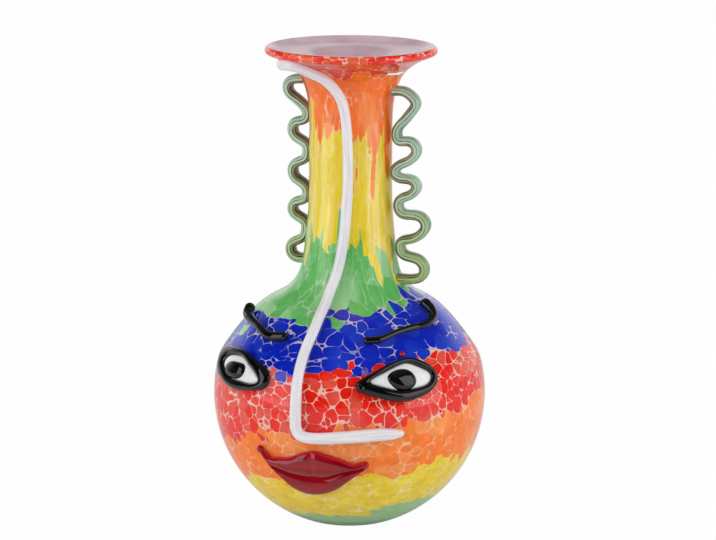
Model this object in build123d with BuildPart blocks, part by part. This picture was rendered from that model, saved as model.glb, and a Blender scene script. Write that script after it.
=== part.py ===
from build123d import *
import os
from math import acos, asin, atan2, cos, degrees, radians, sin, sqrt

# Mouth-blown face vase: a round cased body with a long neck and a flared lip carries a face of
# hot glass trails and patches, and a wavy trail at each side of the neck for an ear.
# The origin is the middle of the ground base, +Z is up and the face looks along -Y.
# Azimuths are degrees about Z from the middle of the face, positive towards +X.

# Outside of the vessel
overall_height = 376.0
body_diameter = 215.0
base_diameter = 76.0
base_edge_radius = 10.0
pontil_diameter = 44.0
pontil_depth = 2.6
shoulder_start_angle = -1.2
shoulder_radius = 85.0
sweep_radius = 26.8
taper_radius = 400.0
taper_angle = 10
taper_height = 271.7
neck_diameter = 65.0
neck_foot_height = 245.0
throat_radius = 83.0
flare_radius = 36.0
flare_straight = 8.9
mouth_diameter = 134.0
lip_radius = 3.3
lip_meeting_angle = -68
lip_inside_angle = 215

# Layers of glass, from the clear casing inwards
body_casing = 3.4
neck_casing = 6.0
base_casing = 8.0
frit_thickness = 0.9
lining_thickness = 1.5
heel_radius = 24.0
colour_throat_radius = 540.0
colour_flare_radius = 28.2
colour_flare_straight = 12.9

# Nose: a thick trail laid from under the rim down the neck to the tip, and a thinner one across
# to the nostril. Each place is an azimuth and a share of height: on the neck from its foot to
# the rim, on the body from its middle to its radius.
nose_radius = 4.1
nose_head_radius = 4.8
nostril_radius = 3.5
nose_lift = 2.0
nose_head_shares = [
    (-45.5, 0.935),
    (-36.0, 0.938),
    (-28.5, 0.93),
    (-21.5, 0.894),
    (-13.5, 0.86),
    (-6.0, 0.812),
    (1.0, 0.755),
]
nose_bridge_shares = [
    (1.0, 0.755),
    (6.0, 0.69),
    (9.4, 0.6),
    (12.0, 0.44),
    (12.8, 0.3),
    (12.2, 0.15),
    (10.4, 0.02),
]
nose_slope_shares = [
    (10.4, 1.368),
    (7.6, 1.185),
    (3.6, 1.027),
    (-0.6, 0.91),
    (-3.2, 0.83),
    (-3.8, 0.745),
]
nose_cheek_shares = [
    (-3.8, 0.745),
    (-4.2, 0.62),
    (-5.8, 0.5),
    (-6.4, 0.38),
    (-6.2, 0.26),
    (-6.0, 0.13),
    (-5.9, 0.02),
    (-5.2, -0.045),
]
nostril_shares = [
    (-5.2, -0.045),
    (-3.6, -0.078),
    (1.5, -0.094),
    (10.0, -0.083),
    (20.0, -0.07),
    (29.0, -0.062),
    (36.5, -0.063),
]

# Brows: trails from the inner end out to a bead at the temple
right_brow_radius = 2.6
right_brow_lift = 1.3
right_brow_shares = [
    (25.4, 0.555),
    (31.6, 0.556),
    (38.0, 0.576),
    (45.5, 0.595),
    (52.0, 0.603),
    (59.0, 0.606),
    (66.0, 0.608),
    (73.0, 0.622),
    (78.3, 0.645),
    (81.0, 0.672),
    (82.6, 0.7),
]
right_brow_bead_radius = 3.8

left_brow_radius = 3.7
left_brow_lift = 1.8
left_brow_shares = [
    (-21.0, 0.545),
    (-25.5, 0.535),
    (-30.8, 0.533),
    (-36.5, 0.546),
    (-43.5, 0.566),
    (-51.5, 0.577),
    (-58.5, 0.582),
    (-64.5, 0.6),
]
left_brow_bead_radius = 4.3

# Eyes: outline of the black rim and of the white inside it, and of the pupil
rim_thickness = 3.4
white_thickness = 2.0
pupil_height = 5.0
pupil_crown_radius = 24.0
right_rim_shares = [
    (18.4, 0.28),
    (24.0, 0.345),
    (31.0, 0.391),
    (38.5, 0.425),
    (45.8, 0.432),
    (52.0, 0.396),
    (56.2, 0.335),
    (56.0, 0.265),
    (52.0, 0.205),
    (45.0, 0.167),
    (37.0, 0.156),
    (29.0, 0.188),
    (22.0, 0.225),
]
right_white_shares = [
    (24.4, 0.303),
    (29.5, 0.349),
    (36.5, 0.387),
    (43.0, 0.405),
    (49.0, 0.37),
    (53.7, 0.315),
    (51.0, 0.255),
    (44.5, 0.238),
    (37.0, 0.236),
    (30.0, 0.265),
]
right_pupil_shares = [
    (32.4, 0.325),
    (37.0, 0.366),
    (42.0, 0.365),
    (44.8, 0.295),
    (42.3, 0.257),
    (38.0, 0.252),
    (33.8, 0.282),
]
left_rim_shares = [
    (-66.5, 0.345),
    (-61.0, 0.385),
    (-53.0, 0.4),
    (-44.5, 0.409),
    (-36.5, 0.398),
    (-29.0, 0.368),
    (-22.6, 0.335),
    (-20.3, 0.27),
    (-22.6, 0.205),
    (-31.0, 0.17),
    (-39.5, 0.148),
    (-47.5, 0.158),
    (-54.5, 0.185),
    (-60.5, 0.225),
    (-64.0, 0.285),
]
left_white_shares = [
    (-55.5, 0.29),
    (-53.5, 0.34),
    (-48.5, 0.362),
    (-42.0, 0.372),
    (-35.2, 0.343),
    (-29.0, 0.3),
    (-25.6, 0.248),
    (-29.5, 0.22),
    (-37.0, 0.215),
    (-44.0, 0.212),
    (-50.5, 0.242),
]
left_pupil_shares = [
    (-50.2, 0.285),
    (-48.0, 0.32),
    (-42.5, 0.338),
    (-35.5, 0.324),
    (-34.0, 0.285),
    (-36.5, 0.247),
    (-41.5, 0.237),
    (-47.0, 0.25),
]

# Lips: round sections across each lip, in azimuth, share of height, and shares of the lip's
# half width and of its projection
upper_lip_half_width = 12.2
upper_lip_projection = 6.5
upper_lip_shares = [
    (-23.2, -0.24, 0.22, 0.4),
    (-21.0, -0.275, 0.19, 0.38),
    (-17.5, -0.315, 0.24, 0.45),
    (-13.0, -0.329, 0.47, 0.68),
    (-8.0, -0.324, 0.71, 0.9),
    (-3.0, -0.313, 0.92, 0.98),
    (2.0, -0.306, 1.0, 1.0),
    (7.0, -0.318, 0.83, 0.95),
    (12.0, -0.318, 0.55, 0.78),
    (16.5, -0.311, 0.3, 0.5),
    (20.0, -0.303, 0.21, 0.42),
    (22.0, -0.3, 0.23, 0.42),
]
lower_lip_half_width = 7.6
lower_lip_projection = 6.0
lower_lip_shares = [
    (-18.5, -0.352, 0.25, 0.4),
    (-15.5, -0.395, 0.5, 0.62),
    (-12.0, -0.438, 0.78, 0.85),
    (-8.0, -0.467, 0.95, 0.97),
    (-3.0, -0.479, 1.0, 1.0),
    (2.0, -0.476, 0.97, 1.0),
    (7.0, -0.458, 0.9, 0.95),
    (12.0, -0.419, 0.78, 0.85),
    (16.5, -0.376, 0.58, 0.66),
    (20.0, -0.34, 0.36, 0.45),
]
lip_bead_radius = 2.9
left_lip_bead_azimuth = -24.0
left_lip_bead_share = -0.24
right_lip_bead_azimuth = 22.2
right_lip_bead_share = -0.302

# Ears: a flat trail laid in waves down each side. Each corner of the route is a share of the
# reach out from the neck and a share of the height from the lower end to the upper end.
ear_thickness = 6.2
ear_depth = 12.0
ear_edge_radius = 2.0
ear_seat_depth = 0.9
ear_outer_bend_radius = 5.4
ear_inner_bend_radius = 3.6
right_ear_top = 342.0
right_ear_bottom = 195.0
right_ear_reach = 26.0
right_ear_shares = [
    (0.66, 0.998),
    (0.76, 0.905),
    (0.0, 0.8),
    (0.0, 0.742),
    (0.73, 0.739),
    (0.76, 0.65),
    (0.0, 0.597),
    (0.0, 0.54),
    (0.72, 0.53),
    (0.75, 0.45),
    (0.0, 0.413),
    (0.0, 0.347),
    (0.98, 0.34),
    (1.0, 0.24),
    (0.0, 0.197),
    (0.0, 0.128),
    (0.76, 0.1),
    (0.76, -0.004),
]
left_ear_top = 348.0
left_ear_bottom = 206.0
left_ear_reach = 14.5
left_ear_shares = [
    (0.62, 1.0),
    (1.05, 0.905),
    (0.0, 0.837),
    (0.0, 0.777),
    (0.86, 0.769),
    (0.88, 0.68),
    (0.0, 0.632),
    (0.0, 0.555),
    (0.84, 0.54),
    (0.86, 0.44),
    (0.0, 0.398),
    (0.0, 0.327),
    (0.8, 0.313),
    (0.8, 0.235),
    (0.0, 0.195),
    (0.0, 0.12),
    (0.78, 0.09),
    (0.6, 0.0),
]

overrun = 20.0

body_radius = body_diameter / 2
base_radius = base_diameter / 2
neck_radius = neck_diameter / 2
mouth_radius = mouth_diameter / 2
body_middle = sqrt(body_radius**2 - base_radius**2)
core_radius = body_radius - body_casing
neck_core_radius = neck_radius - neck_casing
lip_middle = (mouth_radius - lip_radius, overall_height - lip_radius)


def round_point(middle, radius, angle):
    """Point on a circle of the section, at an angle in degrees from the horizontal."""
    return middle[0] + radius * cos(radians(angle)), middle[1] + radius * sin(radians(angle))


# Section of the outside: the round body closes in over the shoulder, a straight runs into the
# sweep at its top, and a long taper ends in the straight neck. All layers share these middles.
shoulder_middle = round_point((0, body_middle), body_radius - shoulder_radius, shoulder_start_angle)
taper_middle = (neck_radius + taper_radius, taper_height)
sweep_middle = round_point(taper_middle, taper_radius - sweep_radius, 180 + taper_angle)


def shoulder_arcs(body_inset, neck_inset):
    """Arcs from the body to the neck, each a middle, radius and start and end angle."""
    bulge_radius = shoulder_radius - body_inset
    hollow_radius = sweep_radius + neck_inset
    across = sweep_middle[0] - shoulder_middle[0]
    up = sweep_middle[1] - shoulder_middle[1]
    span = sqrt(across**2 + up**2)
    lean = degrees(atan2(up, across) - acos((bulge_radius + hollow_radius) / span))
    shoulder = (shoulder_middle, bulge_radius, shoulder_start_angle, lean)
    sweep_in = (sweep_middle, hollow_radius, lean + 180, 180 + taper_angle)
    taper = (taper_middle, taper_radius + neck_inset, 180 + taper_angle, 180)
    return shoulder, sweep_in, taper


def flare_arcs(neck, wide_radius, tight_radius, straight, end, end_angle):
    """Two arcs that open a neck out into a straight, which heads for its end at an angle."""
    run, rise = cos(radians(end_angle)), sin(radians(end_angle))
    tight_middle = (end[0] - straight * run + tight_radius * rise, end[1] - straight * rise - tight_radius * run)
    wide_across = neck + wide_radius
    drop = sqrt((wide_radius - tight_radius) ** 2 - (wide_across - tight_middle[0]) ** 2)
    lean = degrees(atan2(drop, tight_middle[0] - wide_across))
    wide = ((wide_across, tight_middle[1] - drop), wide_radius, 180, lean)
    return wide, (tight_middle, tight_radius, lean, end_angle + 90)


# The colour turns out in the flare to end square against the inside of the lip
lining_and_frit = frit_thickness + lining_thickness
lip_turn = 2 * degrees(asin(lining_and_frit / (2 * lip_radius)))
lip_meeting = round_point(lip_middle, lip_radius, lip_meeting_angle)
colour_end = round_point(lip_middle, lip_radius, lip_inside_angle)
lining_end = round_point(lip_middle, lip_radius, lip_inside_angle - lip_turn)
colour_end_angle = lip_inside_angle - lip_turn / 2 - 180

# The base's edge rounds the ground base into the body, and the heel does the same inside
edge_middle_radius = sqrt((body_radius - base_edge_radius) ** 2 - (body_middle - base_edge_radius) ** 2)
edge_middle = (edge_middle_radius, base_edge_radius)
edge_angle = degrees(atan2(base_edge_radius - body_middle, edge_middle_radius))
heel_middle_height = base_casing + heel_radius
heel_middle_radius = sqrt((core_radius - heel_radius) ** 2 - (body_middle - heel_middle_height) ** 2)
heel_middle = (heel_middle_radius, heel_middle_height)
heel_angle = degrees(atan2(heel_middle_height - body_middle, heel_middle_radius))

# Each surface as runs of arcs that meet, with straights from run to run
outside_shoulder, outside_sweep, outside_taper = shoulder_arcs(0, 0)
outside_body = ((0, body_middle), body_radius, edge_angle, shoulder_start_angle)
body_runs = [[outside_body, outside_shoulder], [outside_sweep, outside_taper]]
outside_flare = flare_arcs(
    neck_radius, throat_radius, flare_radius, flare_straight, lip_meeting, lip_meeting_angle + 90
)
colour_shoulder, colour_sweep, colour_taper = shoulder_arcs(body_casing, neck_casing)
colour_runs = [
    [
        (heel_middle, heel_radius, -90, heel_angle),
        ((0, body_middle), core_radius, heel_angle, shoulder_start_angle),
        colour_shoulder,
    ],
    [colour_sweep, colour_taper],
    flare_arcs(
        neck_core_radius,
        colour_throat_radius,
        colour_flare_radius,
        colour_flare_straight,
        colour_end,
        colour_end_angle,
    ),
]


def moved_radius(arc, depth):
    """Radius of a section arc moved inwards by a depth: less where it bulges, more where it is hollow."""
    _, radius, start, stop = arc
    return radius - depth if stop > start else radius + depth


def draw_runs(runs, depth, end):
    """Section line through the runs, moved inwards by a depth, and on to an end point."""
    place = None
    for run in runs:
        middle, _, start, _ = run[0]
        if place:
            Line(place, round_point(middle, moved_radius(run[0], depth), start))
        for arc in run:
            middle, _, start, stop = arc
            place = CenterArc(middle, moved_radius(arc, depth), start, stop - start) @ 1
    Line(place, end)


def lip_seat(depth):
    """Point where a layer surface ends against the inside of the lip."""
    share = depth / lining_and_frit
    across = colour_end[0] + share * (lining_end[0] - colour_end[0])
    return across, colour_end[1] + share * (lining_end[1] - colour_end[1])


def layer_surface(depth):
    """Section line of a layer surface at a depth inside the coloured layer's outside."""
    floor_height = base_casing + depth
    floor = Line((0, floor_height), (heel_middle_radius, floor_height))
    draw_runs(colour_runs, depth, lip_seat(depth))
    return floor @ 0


def outside_surface():
    """Section line of the outside from the ground base up to the lip."""
    pontil_edge = (pontil_diameter / 2, 0)
    pontil = ThreePointArc((0, pontil_depth), round_pontil_point(), pontil_edge)
    Line(pontil_edge, (edge_middle_radius, 0))
    CenterArc(edge_middle, base_edge_radius, -90, edge_angle + 90)
    draw_runs([*body_runs, outside_flare], 0, lip_meeting)
    return pontil @ 0


def round_pontil_point():
    """Middle point of the polished hollow's arc."""
    hollow_radius = ((pontil_diameter / 2) ** 2 + pontil_depth**2) / (2 * pontil_depth)
    across = pontil_diameter / 4
    return across, pontil_depth - hollow_radius + sqrt(hollow_radius**2 - across**2)


# Clear casing, closed by the lip
with BuildPart() as clear_casing:
    with BuildSketch(Plane.XZ):
        with BuildLine():
            foot = outside_surface()
            lip_span = lip_inside_angle - lip_turn - lip_meeting_angle
            CenterArc(lip_middle, lip_radius, lip_meeting_angle, lip_span)
            Line(lining_end, colour_end)
            floor = layer_surface(0)
            Line(floor, foot)
        make_face()
    revolve(axis=Axis.Z)

# Coloured frit picked up under the casing
with BuildPart() as frit_layer:
    with BuildSketch(Plane.XZ):
        with BuildLine():
            outer = layer_surface(0)
            inner = layer_surface(frit_thickness)
            Line(outer, inner)
            Line(colour_end, lip_seat(frit_thickness))
        make_face()
    revolve(axis=Axis.Z)

# Opal lining, the skin that shows inside the mouth
with BuildPart() as inner_lining:
    with BuildSketch(Plane.XZ):
        with BuildLine():
            outer = layer_surface(frit_thickness)
            inner = layer_surface(lining_and_frit)
            Line(outer, inner)
            Line(lip_seat(frit_thickness), lip_seat(lining_and_frit))
        make_face()
    revolve(axis=Axis.Z)

# The vessel filled solid, to cut the foot of every applied piece to the wall
with BuildPart() as filled_vessel:
    with BuildSketch(Plane.XZ):
        with BuildLine():
            foot = outside_surface()
            CenterArc(lip_middle, lip_radius, lip_meeting_angle, 90 - lip_meeting_angle)
            top = Line((lip_middle[0], overall_height), (0, overall_height))
            Line(top @ 1, foot)
        make_face()
    revolve(axis=Axis.Z)


def section_at(height):
    """Radius and rising direction of the outside at a height on the body or above."""
    below = (edge_middle_radius, 0)
    arcs = [arc for run in (*body_runs, outside_flare) for arc in run]
    lip = (lip_meeting, 0, 0, 0)
    for middle, radius, start, stop in [*arcs, lip]:
        low = round_point(middle, radius, start)
        if height < low[1]:
            run, rise = low[0] - below[0], low[1] - below[1]
            length = sqrt(run**2 + rise**2)
            return below[0] + run * (height - below[1]) / rise, (run / length, rise / length)
        below = round_point(middle, radius, stop)
        if height <= below[1]:
            lean = degrees(asin((height - middle[1]) / radius))
            side = 1 if stop > start else -1
            return middle[0] + side * radius * cos(radians(lean)), (-side * sin(radians(lean)), cos(radians(lean)))


def wall_plane(azimuth, height, lift=0):
    """Plane lying on the wall: X to the viewer's right, Y up the wall, Z out of it."""
    radius, (run, rise) = section_at(height)
    turn = radians(azimuth)
    out = Vector(sin(turn), -cos(turn), 0)
    right = Vector(cos(turn), sin(turn), 0)
    normal = out * rise - Vector(0, 0, run)
    middle = out * radius + Vector(0, 0, height) + normal * lift
    return Plane(middle, x_dir=right, z_dir=normal)


def body_height(share):
    return body_middle + share * body_radius


def neck_height(share):
    return neck_foot_height + share * (overall_height - neck_foot_height)


def lay_trail(walls, radius):
    """Round trail laid along the wall, its far end rounded."""
    route = Spline(*[wall.origin for wall in walls])
    with BuildSketch(Plane(route @ 0, x_dir=-walls[0].z_dir, z_dir=route % 0)) as end:
        Circle(radius)
    sweep(sections=end.sketch, path=route)
    with Locations(walls[-1]):
        Sphere(radius)


# Nose trail, laid in lengths that run on from each other, with a gathered head under the rim
nose_routes = []
for shares, height_at in (
    (nose_head_shares, neck_height),
    (nose_bridge_shares, neck_height),
    (nose_slope_shares, body_height),
    (nose_cheek_shares, body_height),
    (nostril_shares, body_height),
):
    nose_routes.append([wall_plane(azimuth, height_at(up), nose_lift) for azimuth, up in shares])
with BuildPart() as nose_trail:
    for route in nose_routes[:-1]:
        lay_trail(route, nose_radius)
    lay_trail(nose_routes[-1], nostril_radius)
    with Locations(nose_routes[0][0]):
        Sphere(nose_head_radius)
    add(filled_vessel.part, mode=Mode.SUBTRACT)


def brow(shares, lift, radius, bead_radius):
    """Trail with a rounded inner end and a bead at the temple."""
    walls = [wall_plane(azimuth, body_height(up), lift) for azimuth, up in shares]
    with BuildPart() as trail:
        lay_trail(walls, radius)
        with Locations(walls[0]):
            Sphere(radius)
        with Locations(walls[-1]):
            Sphere(bead_radius)
        add(filled_vessel.part, mode=Mode.SUBTRACT)
    return trail.part


right_brow = brow(right_brow_shares, right_brow_lift, right_brow_radius, right_brow_bead_radius)
left_brow = brow(left_brow_shares, left_brow_lift, left_brow_radius, left_brow_bead_radius)


def grown_vessel(growth):
    """The filled body and shoulder grown by the thickness of a patch."""
    with BuildPart() as grown:
        with BuildSketch(Plane.XZ):
            with BuildLine():
                foot = round_point((0, body_middle), body_radius + growth, edge_angle)
                head = (neck_radius + growth, outside_flare[0][0][1])
                draw_runs(body_runs, -growth, head)
                Polyline(head, (0, head[1]), (0, foot[1]), foot)
            make_face()
        revolve(axis=Axis.Z)
    return grown.part


rim_shell = grown_vessel(rim_thickness)
white_shell = grown_vessel(white_thickness)


def flat_outline(shares, plane):
    """Places on the wall seen square on in the plane, for a closed outline."""
    points = [plane.to_local_coords(wall_plane(azimuth, body_height(up)).origin) for azimuth, up in shares]
    return [(point.X, point.Y) for point in points]


def eye(rim_shares, white_shares, pupil_shares):
    """Black rim, white and pupil of one eye, pressed on the wall in that order."""
    azimuths = [azimuth for azimuth, _ in rim_shares]
    heights = [up for _, up in rim_shares]
    middle_azimuth = (min(azimuths) + max(azimuths)) / 2
    middle_height = body_height((min(heights) + max(heights)) / 2)
    plane = wall_plane(middle_azimuth, middle_height)
    with BuildPart() as rim:
        with BuildSketch(plane):
            with BuildLine():
                Spline(*flat_outline(rim_shares, plane), periodic=True)
            make_face()
            with BuildLine():
                Spline(*flat_outline(white_shares, plane), periodic=True)
            make_face(mode=Mode.SUBTRACT)
        extrude(amount=overrun, both=True)
        add(rim_shell, mode=Mode.INTERSECT)
        add(filled_vessel.part, mode=Mode.SUBTRACT)
    with BuildPart() as pupil:
        with BuildSketch(plane):
            with BuildLine():
                Spline(*flat_outline(pupil_shares, plane), periodic=True)
            make_face()
        extrude(amount=overrun, both=True)
        crown_middle = pupil.part.center()
        seat = wall_plane(middle_azimuth, middle_height, pupil_height - pupil_crown_radius)
        across = plane.to_local_coords(crown_middle)
        with Locations(seat.origin + plane.x_dir * across.X + plane.y_dir * across.Y):
            Sphere(pupil_crown_radius, mode=Mode.INTERSECT)
        add(filled_vessel.part, mode=Mode.SUBTRACT)
    with BuildPart() as white:
        with BuildSketch(plane):
            with BuildLine():
                Spline(*flat_outline(white_shares, plane), periodic=True)
            make_face()
        extrude(amount=overrun, both=True)
        add(white_shell, mode=Mode.INTERSECT)
        add(filled_vessel.part, mode=Mode.SUBTRACT)
        add(pupil.part, mode=Mode.SUBTRACT)
    return rim.part, white.part, pupil.part


right_rim, right_white, right_pupil = eye(right_rim_shares, right_white_shares, right_pupil_shares)
left_rim, left_white, left_pupil = eye(left_rim_shares, left_white_shares, left_pupil_shares)


def lip_sections(shares, half_width, projection):
    """Ellipses standing across a lip, half of each inside the wall."""
    sections = []
    for azimuth, up, width, out in shares:
        wall = wall_plane(azimuth, body_height(up))
        with BuildSketch(Plane(wall.origin, x_dir=-wall.z_dir, z_dir=wall.x_dir)) as section:
            Ellipse(out * projection, width * half_width)
        sections.append(section.sketch)
    return sections


# Upper lip with a bead at each corner of the mouth, then the lower lip pressed up against it
left_lip_bead = wall_plane(left_lip_bead_azimuth, body_height(left_lip_bead_share), lip_bead_radius / 4)
right_lip_bead = wall_plane(right_lip_bead_azimuth, body_height(right_lip_bead_share), lip_bead_radius / 4)
with BuildPart() as upper_lip:
    loft(lip_sections(upper_lip_shares, upper_lip_half_width, upper_lip_projection))
    with Locations(left_lip_bead, right_lip_bead):
        Sphere(lip_bead_radius)
    add(filled_vessel.part, mode=Mode.SUBTRACT)
with BuildPart() as lower_lip:
    loft(lip_sections(lower_lip_shares, lower_lip_half_width, lower_lip_projection))
    add(filled_vessel.part, mode=Mode.SUBTRACT)
    add(upper_lip.part, mode=Mode.SUBTRACT)


def ear(side, top, bottom, reach, shares):
    """Wavy trail at one side of the neck; its inner bends press on the wall."""
    seat = ear_thickness / 2 - ear_seat_depth
    corners = []
    for out, up in shares:
        height = bottom + up * (top - bottom)
        corners.append((side * (section_at(height)[0] + seat + out * reach), height))
    radii = [ear_inner_bend_radius if out == 0 else ear_outer_bend_radius for out, _ in shares]
    upper_end = (side * (section_at(top)[0] - ear_thickness / 2), corners[0][1])
    lower_end = (side * (section_at(bottom)[0] - ear_thickness / 2), corners[-1][1])
    with BuildPart() as trail:
        with BuildLine(Plane.XZ):
            route = FilletPolyline(upper_end, *corners, lower_end, radius=radii)
        with BuildSketch(Plane(route @ 0, x_dir=(0, 1, 0), z_dir=route % 0)):
            RectangleRounded(ear_depth, ear_thickness, ear_edge_radius)
        sweep()
        add(filled_vessel.part, mode=Mode.SUBTRACT)
    return trail.part


right_ear = ear(1, right_ear_top, right_ear_bottom, right_ear_reach, right_ear_shares)
left_ear = ear(-1, left_ear_top, left_ear_bottom, left_ear_reach, left_ear_shares)

pieces = {
    "clear_casing": clear_casing.part,
    "frit_layer": frit_layer.part,
    "inner_lining": inner_lining.part,
    "nose_trail": nose_trail.part,
    "right_brow": right_brow,
    "left_brow": left_brow,
    "right_eye_rim": right_rim,
    "right_eye_white": right_white,
    "right_pupil": right_pupil,
    "left_eye_rim": left_rim,
    "left_eye_white": left_white,
    "left_pupil": left_pupil,
    "upper_lip": upper_lip.part,
    "lower_lip": lower_lip.part,
    "right_ear_trail": right_ear,
    "left_ear_trail": left_ear,
}
os.makedirs("parts", exist_ok=True)
for name, piece in pieces.items():
    piece.label = name
    export_step(piece, f"parts/{name}.step")
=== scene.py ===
from math import cos, pi, radians, sin, sqrt
import bmesh
import bpy
import numpy as np
from mathutils import Matrix


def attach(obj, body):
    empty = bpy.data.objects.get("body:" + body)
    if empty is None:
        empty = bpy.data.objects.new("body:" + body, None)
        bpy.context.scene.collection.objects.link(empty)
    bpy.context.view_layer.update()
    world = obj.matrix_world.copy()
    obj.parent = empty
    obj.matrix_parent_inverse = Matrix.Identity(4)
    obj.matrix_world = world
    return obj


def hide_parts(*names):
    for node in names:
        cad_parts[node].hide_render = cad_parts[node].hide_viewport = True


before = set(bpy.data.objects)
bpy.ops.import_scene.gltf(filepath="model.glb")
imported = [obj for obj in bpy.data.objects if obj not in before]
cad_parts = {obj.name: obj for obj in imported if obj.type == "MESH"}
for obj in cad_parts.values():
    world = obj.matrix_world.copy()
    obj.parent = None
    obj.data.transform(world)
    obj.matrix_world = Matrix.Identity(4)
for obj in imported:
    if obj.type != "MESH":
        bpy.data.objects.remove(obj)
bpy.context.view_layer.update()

# Face vase of mouth-blown glass, in metres, +Z up, standing on z = 0, face towards -Y.
# Lengths in the dictionaries are millimetres and are turned to metres where a mesh is filled.
mm = 0.001

vessel = {
    "height": 376.0, "bodyRadius": 107.5, "baseRadius": 38.0, "baseEdge": 10.0,
    "hollowRadius": 22.0, "hollowDepth": 2.6,
    "neckRadius": 32.5, "neckFoot": 245.0, "throat": 300.0,
    "mouthRadius": 67.0, "lipRadius": 3.3,
    "bodyCasing": 3.4, "neckCasing": 6.0, "baseCasing": 8.0, "lipCasing": 0.7, "heelRadius": 24.0,
    "colourThickness": 0.9, "liningThickness": 1.5, "segments": 256,
    # degrees: end of the body's arc, then on the lip's round where flare and colour meet it, its
    # crest, and where the lining's face joins it after leaving the flare at a radius
    "shoulderAngle": 14.0, "lipMeeting": -68.0, "colourMeeting": -82.0, "lipCrest": 82.0,
    "liningJoins": 124.0, "liningLeaves": 54.0,
    # radius share from neck to body, height share from the body's middle to the neck's foot
    "shoulder": [
        (0.846, 0.287), (0.66, 0.4115), (0.456, 0.5085), (0.271, 0.564), (0.116, 0.654), (0.053, 0.792),
        (0.012, 1.0)],
    # radius share from neck to mouth, height share from throat to rim, outside of the glass
    "flare": [
        (0.007, 0.342), (0.067, 0.526), (0.148, 0.632), (0.241, 0.711), (0.371, 0.776), (0.53, 0.829),
        (0.716, 0.875)],
    # the same for the outside of the colour
    "flareCore": [
        (0.0, 0.6), (0.012, 0.76), (0.04, 0.825), (0.11, 0.868), (0.25, 0.896), (0.45, 0.909),
        (0.65, 0.9155), (0.85, 0.92)],
}
bodyMiddle = sqrt(vessel["bodyRadius"] ** 2 - vessel["baseRadius"] ** 2)


def unit(vectors):
    return vectors / np.linalg.norm(vectors, axis=-1, keepdims=True)


def mixed(low, high, share):
    return low + share * (high - low)


# Points from their three coordinates, each spread over the rows and columns of the others
def stacked(x, y, z):
    return np.stack(np.broadcast_arrays(x, y, z), -1)


def fullTurn(count):
    return np.linspace(0, 2 * pi, count, endpoint=False)


# Length along a line at each of its points
def lengthsOf(line):
    return np.r_[0, np.cumsum(np.linalg.norm(np.diff(line, axis=0), axis=1))]


# Cubic curve through points, with its own direction at each end: lengths between points give
# the parameter, and one linear system gives the slope at every point.
def splineThrough(points, startWay, endWay, count):
    p = np.asarray(points, float)
    gaps = np.linalg.norm(np.diff(p, axis=0), axis=1)
    knots = np.r_[0, np.cumsum(gaps)]
    n = len(p)
    system = np.eye(n)
    sums = np.zeros_like(p)
    sums[0], sums[-1] = startWay, endWay
    k = np.arange(1, n - 1)
    system[k, k - 1] = gaps[1:]
    system[k, k] = 2 * (gaps[:-1] + gaps[1:])
    system[k, k + 1] = gaps[:-1]
    steps = np.diff(p, axis=0) / gaps[:, None]
    sums[1:-1] = 3 * (gaps[1:, None] * steps[:-1] + gaps[:-1, None] * steps[1:])
    slopes = np.linalg.solve(system, sums)
    t = np.linspace(0, knots[-1], count)
    i = np.clip(np.searchsorted(knots, t, side="right") - 1, 0, n - 2)
    h = gaps[i][:, None]
    u = ((t - knots[i]) / gaps[i])[:, None]
    a, b = p[i], p[i + 1]
    ma, mb = slopes[i] * h, slopes[i + 1] * h
    return ((2 * u**3 - 3 * u**2 + 1) * a + (u**3 - 2 * u**2 + u) * ma
            + (3 * u**2 - 2 * u**3) * b + (u**3 - u**2) * mb)


# The same curve with free ends, or closed on itself by carrying points round past both ends.
def smoothLine(points, count, closed=False):
    p = np.asarray(points, float)
    if closed:
        wrap, fine = 4, 4000
        ring = np.concatenate([p[-wrap:], p, p[:wrap + 1]])
        long = splineThrough(ring, ring[1] - ring[0], ring[-1] - ring[-2], fine)
        lengths = lengthsOf(ring)
        along = np.linspace(0, lengths[-1], fine)
        wanted = np.linspace(lengths[wrap], lengths[wrap + len(p)], count, endpoint=False)
        return np.stack([np.interp(wanted, along, c) for c in long.T], 1)
    return splineThrough(p, unit(p[1] - p[0]), unit(p[-1] - p[-2]), count)


# Arc of a circle in the section: middle plus radius times (cosine, sine) of angles in degrees.
def arcPoints(middle, radius, start, end, count):
    angle = np.radians(np.linspace(start, end, count))
    return np.stack([middle[0] + radius * np.cos(angle), middle[1] + radius * np.sin(angle)], 1)


def arcPoint(middle, radius, angle):
    return arcPoints(middle, radius, angle, angle, 1)[0]


# Direction of travel round a circle at an angle
def wayRound(angle):
    return np.array([-sin(radians(angle)), cos(radians(angle))])


# Line moved square off itself: each point plus distance times its direction turned a quarter.
def movedOff(line, distance):
    way = unit(np.gradient(line, axis=0))
    return line + distance * np.stack([way[:, 1], -way[:, 0]], 1)


lipMiddle = np.array([vessel["mouthRadius"] - vessel["lipRadius"],
                      vessel["height"] - vessel["lipRadius"]])
bodyCentre = (0.0, bodyMiddle)


# Outside of the glass from the end of the body's arc to the throat, and from there to the lip
def shoulderAndFlare():
    v = vessel
    throat = (v["neckRadius"], v["throat"])
    points = [arcPoint(bodyCentre, v["bodyRadius"], v["shoulderAngle"])]
    points += [(mixed(v["neckRadius"], v["bodyRadius"], a), mixed(bodyMiddle, v["neckFoot"], b))
               for a, b in v["shoulder"]]
    shoulder = splineThrough([*points, throat], wayRound(v["shoulderAngle"]), (0, 1), 420)
    points = [(mixed(v["neckRadius"], v["mouthRadius"], a), mixed(v["throat"], v["height"], b))
              for a, b in v["flare"]]
    meeting = arcPoint(lipMiddle, v["lipRadius"], v["lipMeeting"])
    flare = splineThrough([throat, *points, meeting], (0, 1), wayRound(v["lipMeeting"]), 240)
    return shoulder, flare


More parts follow.
